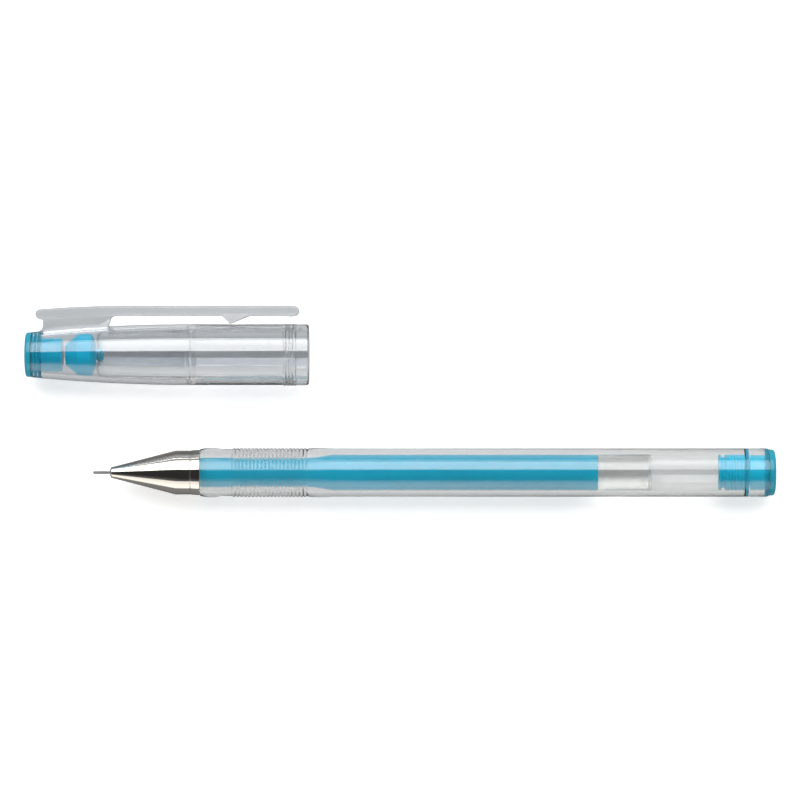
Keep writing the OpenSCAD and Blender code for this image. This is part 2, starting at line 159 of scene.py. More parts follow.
# %% Helpers: how every Geometry Nodes tree starts and ends
def add_input(tree, name, kind, default=None):
    socket = tree.interface.new_socket(name, in_out="INPUT", socket_type=kind)
    if default is not None:
        socket.default_value = default


def new_tree(name):
    tree = bpy.data.node_groups.new(name, "GeometryNodeTree")
    add_input(tree, "Geometry", "NodeSocketGeometry")
    return tree


def finish_tree(tree, geometry, material):
    """The last nodes of every tree: real geometry, one material, and the output."""
    tree.interface.new_socket("Geometry", in_out="OUTPUT", socket_type="NodeSocketGeometry")
    real = add_node(tree, "GeometryNodeRealizeInstances", {"Geometry": geometry})
    paint = add_node(tree, "GeometryNodeSetMaterial", {"Geometry": real.outputs[0], "Material": material})
    add_node(tree, "NodeGroupOutput", {0: paint.outputs[0]})

# %% The tree that turns an outline round the X axis
def make_turning_tree():
    tree = new_tree("turn an outline")
    add_input(tree, "Segments", "NodeSocketInt", 160)
    add_input(tree, "Middle Line", "NodeSocketVector")
    add_input(tree, "Material", "NodeSocketMaterial")
    source = add_node(tree, "NodeGroupInput").outputs
    calc = partial(math_node, tree)
    outline = source["Geometry"]
    points = add_node(tree, "GeometryNodeAttributeDomainSize", {"Geometry": outline}).outputs["Point Count"]
    columns = calc("ADD", source["Segments"], 1)
    grid = add_node(tree, "GeometryNodeMeshGrid", {"Vertices X": columns, "Vertices Y": points})
    index = add_node(tree, "GeometryNodeInputIndex").outputs[0]
    column = calc("FLOOR", calc("DIVIDE", calc("ADD", index, 0.5), points))
    row = calc("SUBTRACT", index, calc("MULTIPLY", column, points))
    position = add_node(tree, "GeometryNodeInputPosition").outputs[0]
    wanted = {"Geometry": outline, "Value": position, "Index": calc("ROUND", row)}
    sample = add_node(tree, "GeometryNodeSampleIndex", wanted, data_type="FLOAT_VECTOR")
    along, radius, _ = parts_of(tree, sample.outputs[0])
    turn = calc("MULTIPLY", calc("DIVIDE", column, source["Segments"]), 2 * math.pi)
    swung = [calc("MULTIPLY", radius, calc(wave, turn)) for wave in ("COSINE", "SINE")]
    place = add_node(tree, "ShaderNodeCombineXYZ", {"X": along, "Y": swung[0], "Z": swung[1]})
    shifted = vector_math(tree, "ADD", place.outputs[0], source["Middle Line"])
    bent = {"Geometry": grid.outputs["Mesh"], "Position": shifted}
    move = add_node(tree, "GeometryNodeSetPosition", bent)
    doubles = {"Geometry": move.outputs[0], "Distance": 0.002 * MM}
    weld = add_node(tree, "GeometryNodeMergeByDistance", doubles)
    finish_tree(tree, weld.outputs[0], source["Material"])
    return tree


turning_tree = make_turning_tree()
print("turning tree:", len(turning_tree.nodes), "nodes")

# %% [markdown]
# ## Raising ribs and threads
# Ribs, grooves and screw threads are the same thing to a lathe: a wave along the piece. This second tree
# lifts the points of a turned body away from its middle line in a wave. With `Lead` at 0 the crests are
# rings; with `Lead` at 1 each turn moves the wave on by one pitch, which makes a real screw thread. It
# works on points that already exist, so the outline has to be finely divided where the wave goes.


# %% The tree that raises ribs, grooves or a thread
def make_rib_tree():
    tree = new_tree("raise ribs")
    add_input(tree, "Middle Line", "NodeSocketVector")
    for name in ("First Rib", "Pitch", "Count", "Height", "Above Radius", "Lead"):
        add_input(tree, name, "NodeSocketFloat", 0.0)
    add_input(tree, "Material", "NodeSocketMaterial")
    source = add_node(tree, "NodeGroupInput").outputs
    calc = partial(math_node, tree)
    position = add_node(tree, "GeometryNodeInputPosition").outputs[0]
    x, y, z = parts_of(tree, vector_math(tree, "SUBTRACT", position, source["Middle Line"]))
    squares = calc("ADD", calc("MULTIPLY", y, y), calc("MULTIPLY", z, z))
    radius = calc("SQRT", squares)
    share = calc("DIVIDE", calc("ARCTAN2", z, y), 2 * math.pi)
    steps = calc("DIVIDE", calc("SUBTRACT", x, source["First Rib"]), source["Pitch"])
    phase = calc("FRACT", calc("MULTIPLY_ADD", share, source["Lead"], steps))
    swing = calc("ABSOLUTE", calc("MULTIPLY_ADD", phase, 2, -1))
    crest = window(tree, calc("SUBTRACT", 1, swing), 0.08, 0.45, interpolation_type="SMOOTHSTEP")
    begun = calc("GREATER_THAN", steps, 0)
    inside = calc("MULTIPLY", begun, calc("LESS_THAN", steps, source["Count"]))
    outside = calc("GREATER_THAN", radius, source["Above Radius"])
    wave = calc("MULTIPLY", crest, source["Height"])
    lift = calc("MULTIPLY", calc("MULTIPLY", inside, outside), wave)
    unit = {axis: calc("DIVIDE", part, radius) for axis, part in (("Y", y), ("Z", z))}
    push = vector_math(tree, "SCALE", add_node(tree, "ShaderNodeCombineXYZ", unit).outputs[0], lift)
    move = add_node(tree, "GeometryNodeSetPosition", {"Geometry": source["Geometry"], "Offset": push})
    finish_tree(tree, move.outputs[0], source["Material"])
    return tree


rib_tree = make_rib_tree()
print("rib tree:", len(rib_tree.nodes), "nodes")

# %% [markdown]
# ## From outline to finished piece
# A modifier's inputs are set by the socket's identifier, which this helper looks up from the name. The
# result is then taken as a plain mesh. Corners in the outline are rounded a little, because no moulded or
# turned edge is perfectly sharp, and an edge with no radius never catches the light.


# %% Helpers: steps, arcs and rounded corners
def stretch(start, end, count):
    """Even steps from start to end, with both ends."""
    return [start + (end - start) * i / count for i in range(count + 1)]


def evenly(x_from, x_to, radius, step):
    """Points at one radius, close enough together for a wave to be raised on them."""
    return [(x, radius) for x in stretch(x_from, x_to, max(1, round((x_to - x_from) / step)))]


def arc(x, r, along, out, degrees):
    """Points round (x, r): 0 degrees is the distance along from it, and 90 degrees the distance out."""
    return [(x + along * math.cos(a), r + out * math.sin(a)) for a in map(math.radians, degrees)]


def soften(outline, radius, closed=True, bend=15):
    """The outline with each corner sharper than bend degrees replaced by a small curve."""
    points = [Vector(p) for p in outline]
    count = len(points)
    result = []
    for i, corner in enumerate(points):
        if not closed and i in (0, count - 1):
            result.append(corner)
            continue
        before = points[i - 1] - corner
        after = points[(i + 1) % count] - corner
        turn = 180 - math.degrees(before.angle(after))
        if turn < bend:
            result.append(corner)
            continue
        cut = min(radius, 0.45 * before.length, 0.45 * after.length)
        start = corner + before.normalized() * cut
        end = corner + after.normalized() * cut
        for t in (0, 0.25, 0.5, 0.75, 1):
            result.append(start * (1 - t) ** 2 + corner * 2 * t * (1 - t) + end * t * t)
    return [tuple(p) for p in result]


# %% Helpers: objects, modifiers and plain meshes
def add_object(name, data):
    thing = bpy.data.objects.new(name, data)
    bpy.context.scene.collection.objects.link(thing)
    return thing


def add_tree(maker, tree, **values):
    """Adds a Geometry Nodes tree as a modifier and sets its inputs, named with _ for a space."""
    modifier = maker.modifiers.new(tree.name, "NODES")
    modifier.node_group = tree
    for item in tree.interface.items_tree:
        key = item.name.replace(" ", "_")
        if item.in_out == "INPUT" and key in values:
            modifier[item.identifier] = values[key]


def plain_mesh(maker, name):
    """The maker's evaluated mesh as a new object with no modifier; the maker is removed."""
    graph = bpy.context.evaluated_depsgraph_get()
    mesh = bpy.data.meshes.new_from_object(maker.evaluated_get(graph))
    bpy.data.objects.remove(maker)
    mesh.name = name
    return add_object(name, mesh)


def face_outwards(piece, sharp_angle=40):
    """Merges doubles, points every face outwards, and shades the piece smooth between its sharp edges."""
    work = bmesh.new()
    work.from_mesh(piece.data)
    bmesh.ops.remove_doubles(work, verts=work.verts, dist=0.0005 * MM)
    bmesh.ops.recalc_face_normals(work, faces=work.faces)
    for face in work.faces:
        face.smooth = True
    work.to_mesh(piece.data)
    work.free()
    piece.data.set_sharp_from_angle(angle=math.radians(sharp_angle))
    print(f"{piece.name}: {len(piece.data.polygons)} faces")
    return piece


# %% Helper: a turned piece
def turned(name, outline, axis, material, waves=(), segments=160, closed=True):
    """A body turned from an outline of (along, radius) in millimetres, with waves raised on it."""
    line = bpy.data.meshes.new(name + " outline")
    loop = outline + outline[:1] if closed else outline
    line.from_pydata([(x * MM, max(r, 0) * MM, 0) for x, r in loop], [], [])
    maker = add_object(name + " maker", line)
    add_tree(maker, turning_tree, Segments=segments, Middle_Line=axis, Material=material)
    for wave in waves:
        numbers = {key: float(wave.get(key, 0)) for key in ("Count", "Lead")}
        sizes = {key: value * MM for key, value in wave.items() if key not in numbers}
        add_tree(maker, rib_tree, Middle_Line=axis, Material=material, **numbers, **sizes)
    return face_outwards(plain_mesh(maker, name))


# %% [markdown]
# ## Wear and flow, shared by the materials
# Two effects turn up in more than one material, so each is a node group. *Handling marks* are the faint
# scratches and smears of something that lives in a pencil case; they lie mostly along the pen, because it
# slides in and out lengthwise. *Mould flow* is the very slight waviness of injection-moulded plastic.


# %% Helpers for shader trees
def shader_group(name, numbers, results):
    """A group that takes a vector and some numbers with their defaults, and gives numbers back."""
    group = bpy.data.node_groups.new(name, "ShaderNodeTree")
    add_input(group, "Vector", "NodeSocketVector")
    for label, default in numbers.items():
        add_input(group, label, "NodeSocketFloat", default)
    for label in results:
        group.interface.new_socket(label, in_out="OUTPUT", socket_type="NodeSocketFloat")
    return group, add_node(group, "NodeGroupInput").outputs, add_node(group, "NodeGroupOutput").inputs


def noise(tree, vector, scale, detail=2.0, rough=0.5):
    slots = {"Vector": vector, "Scale": scale, "Detail": detail, "Roughness": rough}
    return add_node(tree, "ShaderNodeTexNoise", slots).outputs["Fac"]


def stretched(tree, vector, factors):
    return vector_math(tree, "MULTIPLY", vector, factors)


def grey(tree, level):
    """One number as a colour with no tint."""
    return add_node(tree, "ShaderNodeCombineColor", dict.fromkeys(("Red", "Green", "Blue"), level)).outputs[0]


def mixed(tree, first, second, share):
    """From the first colour to the second as share goes from 0 to 1."""
    slots = {"A": first, "B": second, "Factor": share}
    return add_node(tree, "ShaderNodeMix", slots, data_type="RGBA").outputs["Result"]


def add_bump(tree, shader, height, strength, distance):
    slots = {"Height": height, "Strength": strength, "Distance": distance}
    tree.links.new(add_node(tree, "ShaderNodeBump", slots).outputs[0], shader.inputs["Normal"])

# %% Node group: handling marks
def make_marks_group():
    group, source, result = shader_group("handling marks", {"Scale": 1.0}, ("Mask", "Height"))
    scaled = vector_math(group, "SCALE", source["Vector"], source["Scale"])
    along = stretched(group, scaled, (60, 2600, 2600))
    scratches = window(group, noise(group, along, 1.0, 3.0), 0.60, 0.72)
    patches = window(group, noise(group, scaled, 160.0, 2.0), 0.45, 0.65)
    thinned = math_node(group, "MULTIPLY", scratches, patches)
    smears = window(group, noise(group, stretched(group, scaled, (90, 260, 260)), 1.0, 4.0), 0.4, 0.8)
    both = math_node(group, "MULTIPLY_ADD", smears, 0.35, thinned)
    group.links.new(both, result["Mask"])
    group.links.new(math_node(group, "MULTIPLY", thinned, -1.0), result["Height"])
    return group


marks_group = make_marks_group()
print("handling marks:", len(marks_group.nodes), "nodes")


# %% Node group: mould flow
def make_flow_group():
    group, source, result = shader_group("mould flow", {}, ("Wave",))
    long_wave = noise(group, stretched(group, source["Vector"], (40, 220, 220)), 1.0, 1.0)
    fine_wave = noise(group, stretched(group, source["Vector"], (260, 520, 520)), 1.0, 2.0)
    group.links.new(math_node(group, "MULTIPLY_ADD", fine_wave, 0.25, long_wave), result["Wave"])
    return group


flow_group = make_flow_group()
print("mould flow:", len(flow_group.nodes), "nodes")

# %% [markdown]
# ## A material in three steps
# Each material starts from a Principled BSDF whose constant settings are written on its own sockets. The
# marks then roughen it here and there, and the flow and the scratches go through a Bump node. What differs
# between a clear barrel and a nickel cone is only the numbers.


# %% The common start of every material
def start_material(name, **settings):
    """A new material with a Principled BSDF; settings name its sockets with _ for a space."""
    material = bpy.data.materials.new(name)
    material.use_nodes = True
    shader = material.node_tree.nodes["Principled BSDF"]
    for key, value in settings.items():
        shader.inputs[key.replace("_", " ")].default_value = value
    return material, material.node_tree, shader


def object_place(tree):
    return tree.nodes.new("ShaderNodeTexCoord").outputs["Object"]


def use_group(tree, group, **slots):
    return add_node(tree, "ShaderNodeGroup", slots, node_tree=group).outputs


def worn_surface(tree, shader, smooth, rough, marks_scale=1.0, flow_bump=0.0, mark_bump=0.0):
    """Roughness from smooth to rough by the handling marks, and a bump from flow and scratches."""
    place = object_place(tree)
    marks = use_group(tree, marks_group, Vector=place, Scale=marks_scale)
    tree.links.new(window(tree, marks["Mask"], 0, 1, smooth, rough), shader.inputs["Roughness"])
    wave = use_group(tree, flow_group, Vector=place)["Wave"]
    scratches = math_node(tree, "MULTIPLY", marks["Height"], mark_bump)
    add_bump(tree, shader, math_node(tree, "MULTIPLY_ADD", wave, flow_bump, scratches), 1.0, MM)
    return place


def varied_colour(tree, shader, place, light, dark, scale):
    """Base colour drifting slowly between two close tints."""
    drift = window(tree, noise(tree, stretched(tree, place, scale), 1.0, 3.0), 0.35, 0.65)
    tree.links.new(mixed(tree, (*light, 1), (*dark, 1), drift), shader.inputs["Base Color"])


# %% [markdown]
# ## Clear, frosted and translucent plastic
# The barrel and the cap are clear plastic: full transmission, almost no roughness, and a trace of tint. The
# cap is a denser plastic with a polished skin, the coat, from where the inner cap starts to the mouth. The
# clip is of the cap's plastic with no polish. The inner cap is faintly frosted, which is roughness in the
# transmission and not a colour.


# %% Clear and translucent materials
def make_clear_plastic():
    material, tree, shader = start_material("clear plastic", Transmission_Weight=1.0, IOR=1.5)
    place = worn_surface(tree, shader, 0.02, 0.1, 1.0, flow_bump=0.003, mark_bump=0.003)
    varied_colour(tree, shader, place, (0.985, 0.99, 0.99), (0.965, 0.98, 0.98), (30, 120, 120))
    return material


def make_cap_plastic():
    material, tree, shader = start_material("cap plastic", Transmission_Weight=1.0, IOR=1.59, Coat_IOR=1.68,
                                            Coat_Roughness=0.04)
    place = worn_surface(tree, shader, 0.02, 0.1, 1.0, flow_bump=0.003, mark_bump=0.003)
    polished_from = cap_axis.x + 12 * MM
    along = parts_of(tree, place)["X"]
    polish = window(tree, along, polished_from, polished_from + 4 * MM, 0.1, 1.0)
    tree.links.new(polish, shader.inputs["Coat Weight"])
    varied_colour(tree, shader, place, (0.86, 0.88, 0.90), (0.81, 0.835, 0.86), (30, 120, 120))
    return material


def make_misty_plastic():
    material, tree, shader = start_material("misty clip plastic", Transmission_Weight=1.0, IOR=1.55)
    place = worn_surface(tree, shader, 0.04, 0.12, 1.4, flow_bump=0.004, mark_bump=0.002)
    varied_colour(tree, shader, place, (0.80, 0.82, 0.84), (0.74, 0.76, 0.78), (60, 200, 200))
    return material


def make_tube_plastic():
    material, tree, shader = start_material("ink tube plastic", Transmission_Weight=1.0, IOR=1.49)
    place = worn_surface(tree, shader, 0.02, 0.08, 1.3, flow_bump=0.003, mark_bump=0.002)
    varied_colour(tree, shader, place, (0.985, 0.985, 0.985), (0.965, 0.97, 0.97), (25, 200, 200))
    return material


def make_frosted_plastic():
    material, tree, shader = start_material("frosted plastic", Transmission_Weight=0.97, IOR=1.5)
    place = worn_surface(tree, shader, 0.08, 0.16, 1.6, flow_bump=0.004, mark_bump=0.002)
    varied_colour(tree, shader, place, (0.95, 0.955, 0.96), (0.90, 0.91, 0.915), (60, 260, 260))
    return material


def make_holder_plastic():
    material, tree, shader = start_material("tip holder plastic", Transmission_Weight=0.35, IOR=1.49)
    place = worn_surface(tree, shader, 0.25, 0.4, 1.5, flow_bump=0.003, mark_bump=0.002)
    varied_colour(tree, shader, place, (0.86, 0.88, 0.88), (0.78, 0.82, 0.83), (120, 300, 300))
    return material


def make_grease():
    material, tree, shader = start_material("grease", Transmission_Weight=1.0, IOR=1.47)
    place = worn_surface(tree, shader, 0.02, 0.1, 3.0, flow_bump=0.01, mark_bump=0.0)
    varied_colour(tree, shader, place, (0.985, 0.98, 0.97), (0.955, 0.95, 0.94), (200, 200, 200))
    return material


clear_plastic = make_clear_plastic()
cap_plastic = make_cap_plastic()
misty_plastic = make_misty_plastic()
tube_plastic = make_tube_plastic()
frosted_plastic = make_frosted_plastic()
holder_plastic = make_holder_plastic()
grease = make_grease()
moulded_ones = (clear_plastic, cap_plastic, misty_plastic, tube_plastic, frosted_plastic, holder_plastic)
print("clear materials:", [m.name for m in (*moulded_ones, grease)])

# %% [markdown]
# ## Blue plastic, seal and ink
# The two plugs share one moulded blue. Where they stand out of the tubes, painted shade makes the blue
# darker. The seal inside the cap is the same colour in a softer material with a satin surface. The ink wets
# the wall of its tube, so it has almost no gloss of its own, and what shines there is the tube.


# %% Blue materials
def make_blue_plastic():
    material, tree, shader = start_material("sky blue plastic", IOR=1.5)
    place = worn_surface(tree, shader, 0.12, 0.3, 1.6, flow_bump=0.004, mark_bump=0.004)
    varied_colour(tree, shader, place, (0.013, 0.46, 0.66), (0.011, 0.41, 0.60), (80, 240, 240))
    plain = shader.inputs["Base Color"].links[0].from_socket
    # Painted shade: past the barrel's end, where the plugs stand out of the tubes, the blue is mixed towards
    # a darker blue.
    painted_shade_fade = 0.2 * MM
    painted_shade_from = pen_axis.x + along_pen("barrel")[1] * MM
    from_middle = math_node(tree, "ABSOLUTE", parts_of(tree, place)["X"])
    outside = window(tree, from_middle, painted_shade_from - painted_shade_fade, painted_shade_from)
    tree.links.new(mixed(tree, plain, (0.016, 0.28, 0.39, 1), outside), shader.inputs["Base Color"])
    return material


def make_seal_rubber():
    material, tree, shader = start_material("seal rubber", IOR=1.45, Specular_IOR_Level=0.2)
    place = worn_surface(tree, shader, 0.35, 0.55, 2.0, flow_bump=0.006, mark_bump=0.003)
    varied_colour(tree, shader, place, (0.014, 0.54, 0.76), (0.012, 0.48, 0.70), (160, 320, 320))
    return material


def make_ink():
    material, tree, shader = start_material("blue ink", Specular_IOR_Level=0.05)
    place = worn_surface(tree, shader, 0.4, 0.5, 2.0, flow_bump=0.002, mark_bump=0.0)
    varied_colour(tree, shader, place, (0.030, 0.56, 0.74), (0.025, 0.50, 0.67), (18, 90, 90))
    return material


blue_plastic = make_blue_plastic()
seal_rubber = make_seal_rubber()
ink_gel = make_ink()
print("blue materials:", [m.name for m in (blue_plastic, seal_rubber, ink_gel)])

# %% [markdown]
# ## Metals
# The cone is brass, turned on a lathe and plated with bright nickel. Its tool marks are rings, so the bump
# depends only on how far along the pen a point is. The needle is drawn steel pipe, with its marks along it.


# %% Metal materials
def ring_marks(tree, place, rings_per_mm):
    """Very fine rings round the piece, as a turning tool leaves them."""
    vector = stretched(tree, place, (rings_per_mm / MM, 12, 12))
    return noise(tree, vector, 1.0, 1.0)


def make_plated_metal():
    material, tree, shader = start_material("nickel plate", Metallic=1.0)
    place = object_place(tree)
    marks = use_group(tree, marks_group, Vector=place, Scale=1.5)
    tree.links.new(window(tree, marks["Mask"], 0, 1, 0.07, 0.2), shader.inputs["Roughness"])
    varied_colour(tree, shader, place, (0.74, 0.71, 0.665), (0.69, 0.66, 0.615), (120, 320, 320))
    add_bump(tree, shader, ring_marks(tree, place, 9.0), 0.35, 0.002 * MM)
    return material


def make_needle_steel():
    material, tree, shader = start_material("needle steel", Metallic=1.0)
    place = object_place(tree)
    streaks = noise(tree, stretched(tree, place, (400, 9000, 9000)), 1.0, 2.0)
    tree.links.new(window(tree, streaks, 0.3, 0.7, 0.16, 0.32), shader.inputs["Roughness"])
    varied_colour(tree, shader, place, (0.30, 0.31, 0.31), (0.22, 0.23, 0.23), (900, 900, 900))
    return material


def make_ball_carbide():
    material, tree, shader = start_material("ball carbide", Metallic=1.0)
    place = object_place(tree)
    grain = noise(tree, place, 9000.0, 2.0)
    tree.links.new(window(tree, grain, 0.3, 0.7, 0.1, 0.3), shader.inputs["Roughness"])
    varied_colour(tree, shader, place, (0.58, 0.57, 0.56), (0.48, 0.47, 0.46), (4000, 4000, 4000))
    return material


plated_metal = make_plated_metal()
needle_steel = make_needle_steel()
ball_carbide = make_ball_carbide()
print("metals:", [m.name for m in (plated_metal, needle_steel, ball_carbide)])

# %% [markdown]
# ## Placing a finished piece
# A piece handed to the frame rides on a body, so that it moves with the joints, and the CAD nodes that it
# stands for are hidden.


# %% Helper: hand a piece to the frame
def stand_for(piece, body, slot, *nodes):
    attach(piece, body)
    if nodes:
        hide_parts(*nodes)
    return piece


# %% [markdown]
# ## The barrel
# One clear moulding: a threaded spigot that the cone screws on to, a rounded collar, a short neck, twenty
# fine ribs for the fingers, a slightly fuller shoulder, and the plain tube. It could be a tube with rings
# laid on it, but a ray of light has to pass from rib to wall with no gap between, so the ribs are raised on
# the wall itself.

# %% Sizes that the barrel shares with its neighbours
barrel_front, barrel_end = along_pen("barrel")
cone_front, cone_rear = along_pen("nose_cone")
grip_r = width_of("barrel") / 2
barrel_r = grip_r - 0.1
tube_r = width_of("refill_tube") / 2
bore_r = tube_r + 0.12
spigot_root_r = bore_r + 0.27
thread_h = 0.1
collar_l = 4.0
rib_first = cone_rear + collar_l + 1.9
rib_pitch = 0.695
rib_count = 20
rib_h = 0.19
rib_root_r = barrel_r + 0.05 - rib_h
ribs_end = rib_first + rib_count * rib_pitch
neck_r = barrel_r - 0.12
snap_x = barrel_end - 3.7 - 0.9
snap_depth = 0.12
print("barrel radius:", round(barrel_r, 2), "bore radius:", round(bore_r, 2), "ribs:", rib_count)


# %% Make the barrel
def hump(x_from, x_to, low, high, count=12):
    """A stretch that rises from low to high and falls back in a smooth bow."""
    bow = zip(stretch(x_from, x_to, count), stretch(0, math.pi, count))
    return [(x, low + (high - low) * math.sin(a)) for x, a in bow][1:-1]


def barrel_outline():
    spigot = [(barrel_front, bore_r), (barrel_front, spigot_root_r)]
    thread_bed = evenly(barrel_front + 0.4, cone_rear - 0.35, spigot_root_r, 0.06)
    collar = [(cone_rear, spigot_root_r), (cone_rear, barrel_r - 0.1)]
    collar += hump(cone_rear, cone_rear + collar_l + 0.2, barrel_r - 0.1, grip_r)
    neck = [(cone_rear + collar_l + 0.25, neck_r), (rib_first - 0.1, neck_r)]
    rib_bed = evenly(rib_first, ribs_end, rib_root_r, rib_pitch / 12)
    shoulder = [(ribs_end + 0.3, barrel_r)] + hump(ribs_end + 0.4, ribs_end + 4.2, barrel_r, grip_r)
    tube = [(ribs_end + 5.2, barrel_r), (barrel_end - 0.3, barrel_r), (barrel_end, barrel_r - 0.08)]
    groove = [(snap_x + 0.9, bore_r), (snap_x + 0.72, bore_r + snap_depth),
              (snap_x + 0.18, bore_r + snap_depth), (snap_x, bore_r)]
    return spigot + thread_bed + collar + neck + rib_bed + shoulder + tube + [(barrel_end, bore_r)] + groove


grip_ribs = {
    "First_Rib": rib_first, "Pitch": rib_pitch, "Count": rib_count, "Height": rib_h,
    "Above_Radius": bore_r + 0.4,
}
spigot_thread = {
    "First_Rib": barrel_front + 0.5, "Pitch": 0.68, "Count": 5, "Height": thread_h,
    "Above_Radius": bore_r + 0.1, "Lead": 1,
}
barrel = turned("barrel_clear", soften(barrel_outline(), 0.08), pen_axis, clear_plastic,
                waves=(grip_ribs, spigot_thread))
stand_for(barrel, "pen_body", "clear_plastic", "barrel")

# %% [markdown]
# ## The tail plug
# A blue plug with a thin front lip, a stem with crush ribs, a ring that snaps into a groove in the barrel,
# and a rounded flange that closes the tube. Where it touches the clear wall it looks as wide as the barrel,
# because the wall is a lens.

# %% Make the tail plug
plug_front, plug_end = along_pen("tail_plug")
stem_r = 3.25
flange_r = barrel_r - 0.2
touch = 0.01


def tail_plug_outline():
    lip = [(plug_front, 0), (plug_front, stem_r - 0.2), (plug_front + 0.1, stem_r + 0.07),
           (plug_front + 0.5, stem_r + 0.07), (plug_front + 0.6, stem_r - 0.4),
           (plug_front + 1.1, stem_r - 0.4)]
    stem = evenly(plug_front + 1.25, snap_x - 0.2, stem_r, 0.05)
    ring = [(snap_x - 0.1, bore_r), (snap_x + 0.05, bore_r), (snap_x + 0.2, bore_r + snap_depth + touch),
            (snap_x + 0.7, bore_r + snap_depth + touch), (snap_x + 0.85, bore_r), (snap_x + 1.0, stem_r)]
    seat = [(barrel_end - 1.0, stem_r), (barrel_end - 0.9, bore_r + touch),
            (barrel_end - 0.02, bore_r + touch), (barrel_end - 0.02, flange_r)]
    edge = 0.6
    dome_h = 0.12
    rounding = arc(plug_end - dome_h - edge, flange_r - edge, edge, edge, range(80, -1, -10))
    dome = [(plug_end - dome_h * (r / (flange_r - edge)) ** 2, r) for r in (3.0, 2.2, 1.4, 0.7)]
    return lip + stem + ring + seat + rounding + dome + [(plug_end, 0)]


stem_ribs = {"First_Rib": plug_front + 1.4, "Pitch": 0.56, "Count": 6, "Height": 0.12, "Above_Radius": 2.9}
tail_plug_line = soften(tail_plug_outline(), 0.06, closed=False)
tail_plug = turned("tail_plug_blue", tail_plug_line, pen_axis, blue_plastic, waves=(stem_ribs,), closed=False)
stand_for(tail_plug, "pen_body", "blue_plastic", "tail_plug")

# %% [markdown]
# ## The metal cone
# Turned brass, plated: a rounded mouth round the needle, a straight taper, a short plain collar with a fine
# line cut round it, and an edge that flares to meet the barrel. It is hollow, with a bore for the spigot.

# %% Make the cone
cone_rear_r = width_of("nose_cone") / 2
collar_r = cone_rear_r - 0.14
cone_bore_r = spigot_root_r + thread_h + 0.03
mouth_r = 1.05
mouth_hole_r = 0.5
lip_l = 0.42
taper_from = cone_front + lip_l
collar_x = cone_rear - 4.6
line_x = cone_rear - 1.9
front_wall = 0.55


def cone_outline():
    mouth = arc(taper_from, mouth_hole_r, -lip_l, mouth_r - mouth_hole_r, range(0, 76, 8))
    taper = [(taper_from, mouth_r), (collar_x, collar_r), (line_x, collar_r)]
    line_r = collar_r - 0.07
    line = [(line_x + 0.02, line_r), (line_x + 0.12, line_r), (line_x + 0.14, collar_r + 0.04)]
    rear = [(cone_rear - 0.15, cone_rear_r), (cone_rear - 0.01, cone_rear_r - 0.06),
            (cone_rear - 0.01, cone_bore_r)]
    slope = (collar_r - mouth_r) / (collar_x - taper_from)
    land = taper_from + 1
    inside = [(collar_x + 0.1, cone_bore_r), (collar_x + 0.1, collar_r - front_wall),
              (land, mouth_r + slope - front_wall), (land - 0.3, mouth_hole_r)]
    return mouth + taper + line + rear + inside


cone = turned("nose_cone_plated", soften(cone_outline(), 0.05), pen_axis, plated_metal)
stand_for(cone, "cone", "plated_metal", "nose_cone")

# %% [markdown]
# ## The refill
# The ink tube is slim inside the grip and wide in the barrel. The ink is drawn a hair larger than the inside
# of the tube: a wet wall has no air in it, and even the thinnest film of air would make the ink look
# narrower than it is. Its wide part is a piece of its own, because it shortens as the pen is used.

# %% Make the ink tube
tube_front, tube_end = along_pen("refill_tube")
ink_front, ink_end = along_pen("ink")
slim_r = 2.76
wall = 0.55
wide_ink_l = 48.7
shoulder_l = 4.3
wide_x = ink_end - wide_ink_l
shoulder_x = wide_x - shoulder_l
tank_r = tube_r - wall
slim_tank_r = slim_r - wall


def ease(x_from, x_to, r_from, r_to, count=8):
    """A smooth step between two radii."""
    return [(x_from + (x_to - x_from) * t, r_from + (r_to - r_from) * t * t * (3 - 2 * t))
            for t in stretch(0, 1, count)]


tube_outline = ([(tube_front, slim_tank_r), (tube_front, slim_r)] + ease(shoulder_x, wide_x, slim_r, tube_r)
                + [(tube_end - 0.05, tube_r), (tube_end, tube_r - 0.05), (tube_end, tank_r)]
                + ease(wide_x, shoulder_x, tank_r, slim_tank_r))
refill_tube = turned("refill_tube_clear", soften(tube_outline, 0.08, bend=25), pen_axis, tube_plastic)
stand_for(refill_tube, "refill", "tube_plastic", "refill_tube")

# %% Make the ink and the grease plug
wet = 0.01
slim_ink_outline = ([(ink_front, 0), (ink_front, slim_tank_r + wet)]
                    + ease(shoulder_x, wide_x, slim_tank_r + wet, tank_r + wet) + [(wide_x + 0.01, 0)])
slim_ink = turned("ink_in_slim_tube", slim_ink_outline, pen_axis, ink_gel, closed=False)
stand_for(slim_ink, "refill", "ink_gel", "ink")
wide_ink_outline = [(wide_x, 0), (wide_x, tank_r + wet), (ink_end, tank_r + wet), (ink_end - 0.02, 0)]
wide_ink = turned("ink_in_wide_tube", wide_ink_outline, pen_axis, ink_gel, closed=False)
stand_for(wide_ink, "refill", "ink_gel")
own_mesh(wide_ink)
grease_front, grease_end = along_pen("follower")
grease_outline = [(grease_front, 0), (grease_front + 0.02, tank_r + wet), (grease_end - 0.05, tank_r + wet),
                  (grease_end - 0.08, tank_r - 0.3), (grease_end - 0.12, 0)]
grease_plug = turned("grease_plug_clear", grease_outline, pen_axis, grease, closed=False)
stand_for(grease_plug, "grease_plug", "grease", "follower")

# %% [markdown]
# ## The tip
# A moulded holder plugs into the front of the tube and carries the needle, a pipe no thicker than a pin. Its
# end is turned in over the ball, so that the ball can roll but not fall out.

# %% Make the tip holder, the needle and the ball
holder_front, holder_end = along_pen("tip_holder")
needle_end = along_pen("needle")[1]
needle_r = width_of("needle") / 2
ball_r = width_of("writing_ball") / 2
holder_collar_x = collar_x - 0.6
holder_slope = (collar_r - mouth_r) / (collar_x - taper_from)


def inside_cone(x):
    """Radius of the holder at x, a little clear of the inside of the cone."""
    return mouth_r + holder_slope * (x - taper_from) - front_wall - 0.12


